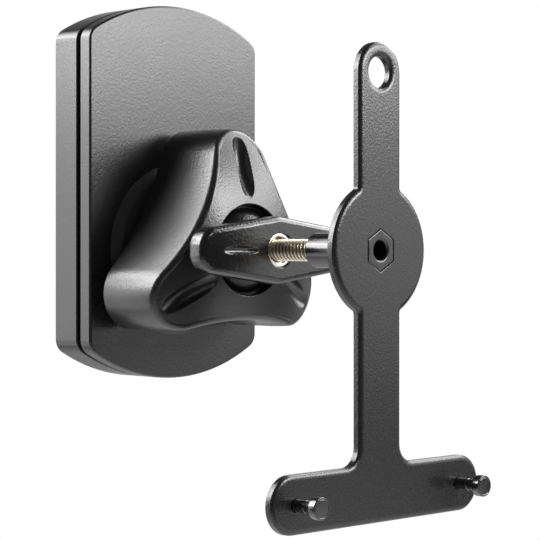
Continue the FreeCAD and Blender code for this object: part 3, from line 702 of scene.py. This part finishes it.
LOBE_GROOVE = WheelGroove(dome, start=19.4, end=42.5, depth=3.2, nose=3.6, soft=0.5)


def lobe_lean(angle):
    """The angle from the nearest lobe."""
    part = (angle - math.pi / 2) % (2 * math.pi / 3)
    return min(part, 2 * math.pi / 3 - part)


def nut_angles():
    """Angles once round, closest together over the lobes' grooves."""
    run = []
    for lobe in range(3):
        for part in fractions(NUT_POINTS // 3)[:-1]:
            side = 2 * part - 1
            shift = NUT_SPREAD * side + (1 - NUT_SPREAD) * side ** 3
            run.append(math.pi / 2 + (lobe * 2 + shift) * math.pi / 3)
    return run


def nut_edge(angle, inset):
    """The outline's distance from the axis, drawn in by inset, and how squarely it faces away."""
    lean = lobe_lean(angle)
    tip = Vector((LOBE_CENTRE, 0))
    side = Vector((SIDE_CENTRE / 2, SIDE_CENTRE * math.sqrt(3) / 2))
    touch = tip + (side - tip).normalized() * (LOBE_TIP - inset)
    ray = Vector((math.cos(lean), math.sin(lean)))
    if lean < math.atan2(touch.y, touch.x):
        reach = tip.dot(ray) + math.sqrt((LOBE_TIP - inset) ** 2 - (tip.x * ray.y) ** 2)
        facing = (ray * reach - tip).normalized()
    else:
        along = side.dot(ray)
        reach = along - math.sqrt((SIDE_HOLLOW + inset) ** 2 - side.length_squared + along ** 2)
        facing = (side - ray * reach).normalized()
    return reach, facing.dot(ray)


def nut_face(radius, angle):
    """The domed front with the three lobes' grooves in it."""
    lean = lobe_lean(angle)
    return LOBE_GROOVE.cut(dome(radius), radius * math.cos(lean), radius * math.sin(lean))


def nut_front_edge(angle):
    """How far out the front edge's rounding is centred, and the bend where it meets the dome."""
    reach, square = nut_edge(angle, NUT_EDGE_CENTRE)
    height = math.sqrt((DOME - NUT_EDGE) ** 2 - reach ** 2)
    return DOME_CENTRE + height, math.pi / 2 - math.atan2(reach * square, height)


def nut_rings():
    """The nut's rings, from its back edge over the leaning wall and the front into the bore."""
    around = nut_angles()
    rings = []
    for sine, cosine in quarter(SMALL_EDGE_STEPS):
        inset = NUT_BACK_EDGE * (1 - sine)
        out = NUT_BACK + NUT_BACK_EDGE * (1 - cosine)
        rings.append([(nut_edge(angle, inset)[0], out) for angle in around])
    fronts = [nut_front_edge(angle) for angle in around]
    for part in fractions(LARGE_EDGE_STEPS):
        fall = NUT_LEAN_DEPTH * (1 - part) - NUT_EDGE * math.sin(NUT_LEAN)
        rings.append([(nut_edge(angle, LEAN_INSET * part ** 2)[0], level - fall)
                      for angle, (level, _) in zip(around, fronts)])
    for part in fractions(LARGE_EDGE_STEPS)[1:]:
        ring = []
        for angle, (level, last) in zip(around, fronts):
            bend = NUT_LEAN + part * (last - NUT_LEAN)
            edge = nut_edge(angle, NUT_EDGE_CENTRE - NUT_EDGE * math.cos(bend))[0]
            ring.append((edge, level + NUT_EDGE * math.sin(bend)))
        rings.append(ring)
    rim = rings[-1]
    for part in fractions(NUT_ROWS)[1:]:
        ring = []
        for angle, (edge, _) in zip(around, rim):
            radius = edge + (NUT_BORE + BORE_EDGE - edge) * part
            ring.append((radius, nut_face(radius, angle)))
        rings.append(ring)
    bore = [(NUT_BORE + BORE_EDGE * (1 - sine), dome(NUT_BORE) - BORE_EDGE * (1 - cosine))
            for sine, cosine in quarter(SMALL_EDGE_STEPS)[1:]]
    bore += [(NUT_BORE, NUT_SHOULDER), (NUT_THREAD, NUT_SHOULDER), (NUT_THREAD, NUT_BACK)]
    rings += [[place] * NUT_POINTS for place in bore]
    return [[(radius * math.cos(angle), AXIS_UP + radius * math.sin(angle), out)
             for angle, (radius, out) in zip(around, ring)] for ring in rings]


clamp_nut = settle(skin(nut_rings(), loop=True), "clamp_nut_piece")
wear(clamp_nut, "nut_black", "clamp_nut")


# Ball, stud and wing nut

smooth_copy("ball", "pitted_black")

STUD_CHAMFER = 0.8
STUD_POINTS = 72
THREAD_START = node_sides("ball")[1].z
THREAD_PITCH = 1.75
THREAD_STEPS = 12
THREAD_CLEARANCE = 0.1


def stud_profile():
    """Fine rings where the thread is cut, and plain ends."""
    end = stud_high.z
    length = end - STUD_CHAMFER - THREAD_START
    count = round(length / THREAD_PITCH * THREAD_STEPS)
    run = [(STUD_RADIUS, THREAD_START + length * part) for part in fractions(count)]
    return [(0, stud_low.z), (STUD_RADIUS, stud_low.z), *run,
            (STUD_RADIUS - STUD_CHAMFER, end), (0, end)]


stud = settle(skin(turned(stud_profile(), STUD_POINTS)), "stud_piece", sharp_degrees=60)
grow(stud, THREAD_CUTTER, Radius=STUD_RADIUS * MM, Depth=THREAD_DEPTH * MM,
     Pitch=THREAD_PITCH * MM, Start=(THREAD_START - THREAD_PITCH) * MM, End=stud_high.z * MM,
     Up=AXIS_UP * MM, Metal=FINISHES["pale_zinc"])
wear(stud, "pale_zinc", "stud")

wing_low, wing_high = node_sides("wing_nut")
WING_HALF = wing_high.x
WING_HUB = 12.4
WING_HUB_ROUND = 8.0
WING_END = 7.4
WING_END_ROUND = 7.0
WING_EDGE = 2.2
WING_HOLE = 6.25
WING_HOLE_EDGE = 0.4
WING_CROWN = 600.0
WING_POINT_GAP = 0.35
WING_ROWS = 72
WING_BACK_STEPS = 6


def wing_face(across):
    """The wing nut's slightly crowned front, out of the wall."""
    return wing_high.z - across * across / (2 * WING_CROWN)


WING_GROOVE = WheelGroove(wing_face, start=11.0, end=27.6, depth=1.3, nose=1.35, soft=0.25)


def wing_outline():
    """The wing nut's outline as evenly spaced points and the directions they face."""
    half = [(0, WING_HUB), (-WING_HALF, WING_END), (-WING_HALF, -WING_END)]
    corners = half + [(-across, -up) for across, up in half]
    radii = (WING_HUB_ROUND, WING_END_ROUND, WING_END_ROUND) * 2
    run = rounded(corners, radii, steps=24)
    points = []
    for here, there in zip(run, run[1:] + run[:1]):
        count = max(1, round((there - here).length / WING_POINT_GAP))
        points += [here.lerp(there, step / count) for step in range(count)]
    facing = []
    for index in range(len(points)):
        along = points[(index + 1) % len(points)] - points[index - 1]
        facing.append(Vector((along.y, -along.x)).normalized())
    return list(zip(points, facing))


def wing_rings():
    """The wing nut's rings, from its back edge over the sides and the front into the hole."""
    outline = wing_outline()
    back, front = wing_low.z, wing_high.z
    rings = []
    for sine, cosine in quarter(WING_BACK_STEPS):
        inset, out = WING_EDGE * (1 - sine), back + WING_EDGE * (1 - cosine)
        rings.append([(*(point - away * inset), out) for point, away in outline])
    for sine, cosine in quarter(LARGE_EDGE_STEPS):
        inset, drop = WING_EDGE * (1 - cosine), WING_EDGE * (1 - sine)
        ring = [point - away * inset for point, away in outline]
        rings.append([(*point, wing_face(point.x) - drop) for point in ring])
    rim = [Vector(point[:2]) for point in rings[-1]]
    rays = [point.normalized() for point in rim]
    for part in fractions(WING_ROWS)[1:]:
        ring = []
        for edge, ray in zip(rim, rays):
            across, up = edge.lerp(ray * (WING_HOLE + WING_HOLE_EDGE), part)
            ring.append((across, up, WING_GROOVE.cut(wing_face(across), abs(across), up)))
        rings.append(ring)
    for radius, out in ((WING_HOLE, front - WING_HOLE_EDGE), (WING_HOLE, back + WING_HOLE_EDGE),
                        (WING_HOLE + WING_HOLE_EDGE, back)):
        rings.append([(*(ray * radius), out) for ray in rays])
    return [[(across, AXIS_UP + up, out) for across, up, out in ring] for ring in rings]


wing_nut = settle(skin(wing_rings(), loop=True), "wing_nut_piece")
wear(wing_nut, "wing_black", "wing_nut")

INSERT_RADIUS = 6.2
INSERT_BORE = STUD_RADIUS + THREAD_CLEARANCE
INSERT_CHAMFER = 1.1
INSERT_ROUNDS = 0, 0.3, 0.3, 0.15, 0.1


def insert_profile():
    """A bush with a countersunk front."""
    low, high = node_sides("wing_nut_insert")
    corners = [(INSERT_BORE, low.z), (INSERT_RADIUS, low.z), (INSERT_RADIUS, high.z),
               (INSERT_BORE + INSERT_CHAMFER, high.z), (INSERT_BORE, high.z - INSERT_CHAMFER)]
    return rounded(corners, INSERT_ROUNDS)


insert = settle(skin(turned(insert_profile()), loop=True), "wing_nut_insert_piece")
wear(insert, "nickel", "wing_nut_insert")


# Speaker plate with its standoff and pins

plate_low, plate_high = node_sides("speaker_plate")
HEX_FLATS = 13.0
PLATE_EDGE = 0.8
HEX_HOLE_EDGE = 0.3
BACK_EDGE = 0.3
PLATE_COAT = 0.3
PLATE_BACK_STEPS = 4
PLATE_ROLL_STEPS = 10

# How far each front edge is rolled over: across the sheet, and deep into it
OUTER_ROLL = 2.1, 1.15
EYE_ROLL = 2.0, 1.2
HEX_HOLE_ROLL = 0.35, 0.35
PIN_HOLE_ROLL = 0.3, 0.3


def plate_rims():
    """The rims of the plate's flat front as runs of (across, up), with the sheet on their left."""
    mesh = joined_copy("speaker_plate")
    front = min(vert.co.y for vert in mesh.verts) + WELD * MM
    for face in mesh.faces:
        face.tag = all(vert.co.y < front for vert in face.verts)
    after = {corner.vert: corner.link_loop_next.vert for face in mesh.faces if face.tag
             for corner in face.loops if not corner.link_loop_radial_next.face.tag}
    runs = []
    while after:
        vert = next(iter(after))
        run = []
        while vert in after:
            run.append(Vector((vert.co.x, vert.co.z)) / MM)
            vert = after.pop(vert)
        runs.append(run)
    mesh.free()
    return runs


def mitres(run):
    """The points of a closed run, each with the way off the sheet that keeps an offset even."""
    result = []
    for index, point in enumerate(run):
        before = (point - run[index - 1]).normalized()
        after = (run[(index + 1) % len(run)] - point).normalized()
        away = Vector((before.y + after.y, -before.x - after.x))
        result.append((point, away / (1 + before.dot(after))))
    return result


def rim_edges(run):
    """How far the sheet's wall lies beyond a rim, and how its front edge is rolled over."""
    sides = [point.x for point in run]
    if max(sides) > plate_high.x / 2 and min(sides) < plate_low.x / 2:
        return PLATE_EDGE, *OUTER_ROLL
    middle = sum(run, Vector((0, 0))) / len(run)
    if middle.y > AXIS_UP + HEX_FLATS:
        return 0.0, *EYE_ROLL
    if middle.y > AXIS_UP - HEX_FLATS:
        return HEX_HOLE_EDGE, *HEX_HOLE_ROLL
    return 0.0, *PIN_HOLE_ROLL


def pressed_plate():
    """The flat plate with the rolled front edges that a press leaves."""
    back, front = plate_low.z - PLATE_COAT, plate_high.z
    mesh = bmesh.new()
    rims = {back: [], front: []}
    for run in plate_rims():
        beyond, across, deep = rim_edges(run)
        steps = [(beyond - BACK_EDGE * (1 - sine), back + BACK_EDGE * (1 - cosine))
                 for sine, cosine in quarter(PLATE_BACK_STEPS)]
        steps += [(beyond - across * (1 - cosine), front - deep * (1 - sine))
                  for sine, cosine in quarter(PLATE_ROLL_STEPS)]
        sides = mitres(run)
        rows = sew(mesh, [[(*(point + away * shift), out) for point, away in sides]
                          for shift, out in steps])
        for level, row in ((back, rows[0]), (front, rows[-1])):
            rims[level] += [mesh.edges.get(pair) for pair in zip(row, row[1:] + row[:1])]
    for edges in rims.values():
        bmesh.ops.triangle_fill(mesh, use_beauty=True, edges=edges)
    return mesh


plate = level_faces(settle(pressed_plate(), "speaker_plate_piece", sharp_degrees=40))
wear(plate, "powder_black", "speaker_plate")

BARREL = 6.2
BARREL_CHAMFER = 0.8
BARREL_ROUND = 0.3
BARREL_HOLE = 3.4
BARREL_HOLE_ROUND = 0.8
BARREL_THREAD = STUD_RADIUS + THREAD_CLEARANCE
STUD_END_GAP = 0.1
HEX_EDGE = 0.5


def hexagon(out, inset=0.0):
    """A ring along a hexagon with a corner at its top."""
    ring = []
    for angle in angles(RING_POINTS):
        lean = (angle + math.pi / 6) % (math.pi / 3) - math.pi / 6
        reach = (HEX_FLATS / 2 - inset) / math.cos(lean)
        ring.append((reach * math.cos(angle), AXIS_UP + reach * math.sin(angle), out))
    return ring


def standoff_rings():
    """A barrel with a hexagon flush in the plate, its edge rounded, drilled through."""
    back, shoulder, front = node_sides("standoff")[0].z, plate_low.z, plate_high.z
    thread_end = stud_high.z + STUD_END_GAP
    barrel = [(BARREL_THREAD, back), (BARREL - BARREL_CHAMFER, back),
              (BARREL, back + BARREL_CHAMFER), (BARREL, shoulder)]
    hole = [(BARREL_HOLE + 2 * BARREL_HOLE_ROUND, front), (BARREL_HOLE, front),
            (BARREL_HOLE, thread_end), (BARREL_THREAD, thread_end)]
    rings = turned(rounded(barrel, (0, BARREL_ROUND, BARREL_ROUND, 0)))
    rings.append(hexagon(shoulder))
    for sine, cosine in quarter(SMALL_EDGE_STEPS):
        rings.append(hexagon(front - HEX_EDGE * (1 - sine), HEX_EDGE * (1 - cosine)))
    return rings + turned(rounded(hole, (0, BARREL_HOLE_ROUND, 0, 0)))


standoff = level_faces(settle(skin(standoff_rings(), loop=True), "standoff_piece"))
wear(standoff, "blackened_steel", "standoff")

PIN_POINTS = 64
PIN_SHANK = 2.2
PIN_HEAD = 3.8
PIN_HEAD_DEPTH = 3.0
SHANK_RING_PLACE = 7.0
SHANK_RING_WIDTH = 0.8
SHANK_RING_DEPTH = 0.2
FACE_RING = 3.05
FACE_RING_HALF = 0.15
FACE_RING_DEPTH = 0.1


def keyhole_pin(node):
    """A shank through the crossbar with a turned ring, and a wider head with a ring on its face."""
    low, high = node_sides(node)
    across, up = (low.x + high.x) / 2, (low.y + high.y) / 2
    front, head_back = high.z, high.z - PIN_HEAD_DEPTH
    ring, ring_floor = front - SHANK_RING_PLACE, PIN_SHANK - SHANK_RING_DEPTH
    # Each corner's radius, height out of the wall and rounding
    shape = ((0, low.z, 0),
             (PIN_SHANK, low.z, 0.2),
             (PIN_SHANK, ring, 0.1),
             (ring_floor, ring + SHANK_RING_DEPTH, 0.05),
             (ring_floor, ring + SHANK_RING_WIDTH - SHANK_RING_DEPTH, 0.05),
             (PIN_SHANK, ring + SHANK_RING_WIDTH, 0.1),
             (PIN_SHANK, head_back, 0.2),
             (PIN_HEAD, head_back, 0.25),
             (PIN_HEAD, front, 0.3),
             (FACE_RING + FACE_RING_HALF, front, 0.05),
             (FACE_RING, front - FACE_RING_DEPTH, 0.05),
             (FACE_RING - FACE_RING_HALF, front, 0.05),
             (0, front, 0))
    profile = rounded([corner[:2] for corner in shape], [corner[2] for corner in shape])
    pin = settle(skin(turned(profile, PIN_POINTS, across, up)), f"{node}_piece")
    wear(pin, "pin_steel", node)


keyhole_pin("keyhole_pin_left")
keyhole_pin("keyhole_pin_right")


# Stage

WORLD_LIGHT = 0.34
MIRROR_DIM = 0.06
LEVEL_FADE = 0.2, 0.5
BEHIND_FADE = 0.35, 0.95

FLOOR_HALF = 1.1
FLOOR_HEIGHT = -0.45

LAMP_TARGET = Vector((0, -0.06, -0.02))
LAMP_DISTANCE = 0.6

# Each lamp's azimuth and elevation in degrees, its size in metres and its power in watts
LAMPS = {
    "right": (43, 20, (0.56, 0.18), 2.2),
    "right_near": (28, 18, (0.14, 0.16), 0.5),
    "right_high": (48, 42, (0.3, 0.2), 0.5),
    "side_high": (86, 38, (0.4, 0.3), 2.4),
    "right_low": (48, 2, (0.3, 0.22), 0.22),
    "right_under": (33, -25, (0.3, 0.24), 0.15),
    "left": (-130, 22, (0.24, 0.24), 1.9),
    "left_high": (-142, 40, (0.36, 0.26), 2.1),
    "left_back": (-160, 22, (0.24, 0.24), 0.6),
    "left_low": (-138, 3, (0.3, 0.22), 0.48),
    "left_under": (-142, -18, (0.24, 0.24), 0.25),
    "back": (-178, 3, (0.24, 0.24), 0.37),
}


def world():
    """A white surround as the camera sees it. Glossy faces see it white behind the part and
    dim on the photographer's side, and it lights the part gently."""
    scene_world = bpy.data.worlds.new("studio")
    scene_world.use_nodes = True
    bpy.context.scene.world = scene_world
    graph = Graph(scene_world.node_tree)
    shown, glossy, through = (graph.add("ShaderNodeLightPath", output=f"Is {kind} Ray")
                              for kind in ("Camera", "Glossy", "Transmission"))
    across, depth, rise = graph.parts(graph.add("ShaderNodeTexCoord", output="Generated"))
    level = 1.0 - rise.math("ABSOLUTE").between(*LEVEL_FADE)
    behind = ((across + depth) * math.sqrt(0.5)).between(*BEHIND_FADE) * level
    mirrored = glossy.math("MAXIMUM", through)
    reflected = MIRROR_DIM + (1 - MIRROR_DIM) * behind
    seen = mirrored * reflected + (1.0 - mirrored) * WORLD_LIGHT
    background = scene_world.node_tree.nodes["Background"]
    background.inputs["Color"].default_value = (1, 1, 1, 1)
    graph.feed(background.inputs["Strength"], shown + (1.0 - shown) * seen)


def floor():
    """A plain pale floor, well below the part."""
    mesh = bmesh.new()
    bmesh.ops.create_grid(mesh, x_segments=1, y_segments=1, size=FLOOR_HALF)
    bmesh.ops.translate(mesh, verts=mesh.verts, vec=(0, 0, FLOOR_HEIGHT))
    thing = link("floor", to_data(mesh, "floor"))
    finish = Finish("pale_floor", Roughness=0.7)
    finish.colour((0.78, 0.78, 0.78), (0.82, 0.82, 0.82), finish.noise(60, detail=3.0))
    thing.data.materials.append(finish.material)


def softbox(name, azimuth, elevation, size, power):
    """A rectangular lamp that looks at the part. Azimuth 0 stands in front, 90 to the right."""
    lamp = bpy.data.lights.new(name, "AREA")
    lamp.shape = "RECTANGLE"
    lamp.size, lamp.size_y = size
    lamp.energy = power
    thing = link(name, lamp)
    turn, rise = math.radians(azimuth), math.radians(elevation)
    away = Vector((math.sin(turn) * math.cos(rise), -math.cos(turn) * math.cos(rise),
                   math.sin(rise)))
    thing.location = LAMP_TARGET + away * LAMP_DISTANCE
    thing.rotation_mode = "QUATERNION"
    thing.rotation_quaternion = away.to_track_quat("Z", "Y")
    thing.visible_camera = False


def camera():
    """The photograph's camera: level, at the part's left front, with its picture shifted."""
    eye = bpy.data.cameras.new("camera")
    eye.sensor_width = 36
    eye.lens = 126.5
    eye.shift_x = -0.0314
    eye.shift_y = -0.0482
    thing = link("camera", eye)
    thing.location = (-0.4858, -0.5688, -0.01995)
    thing.rotation_euler = (math.radians(90), 0, math.radians(-44.88))
    bpy.context.scene.camera = thing


world()
floor()
for lamp_name, settings in LAMPS.items():
    softbox(lamp_name, *settings)
camera()
bpy.context.scene.view_settings.view_transform = "Standard"
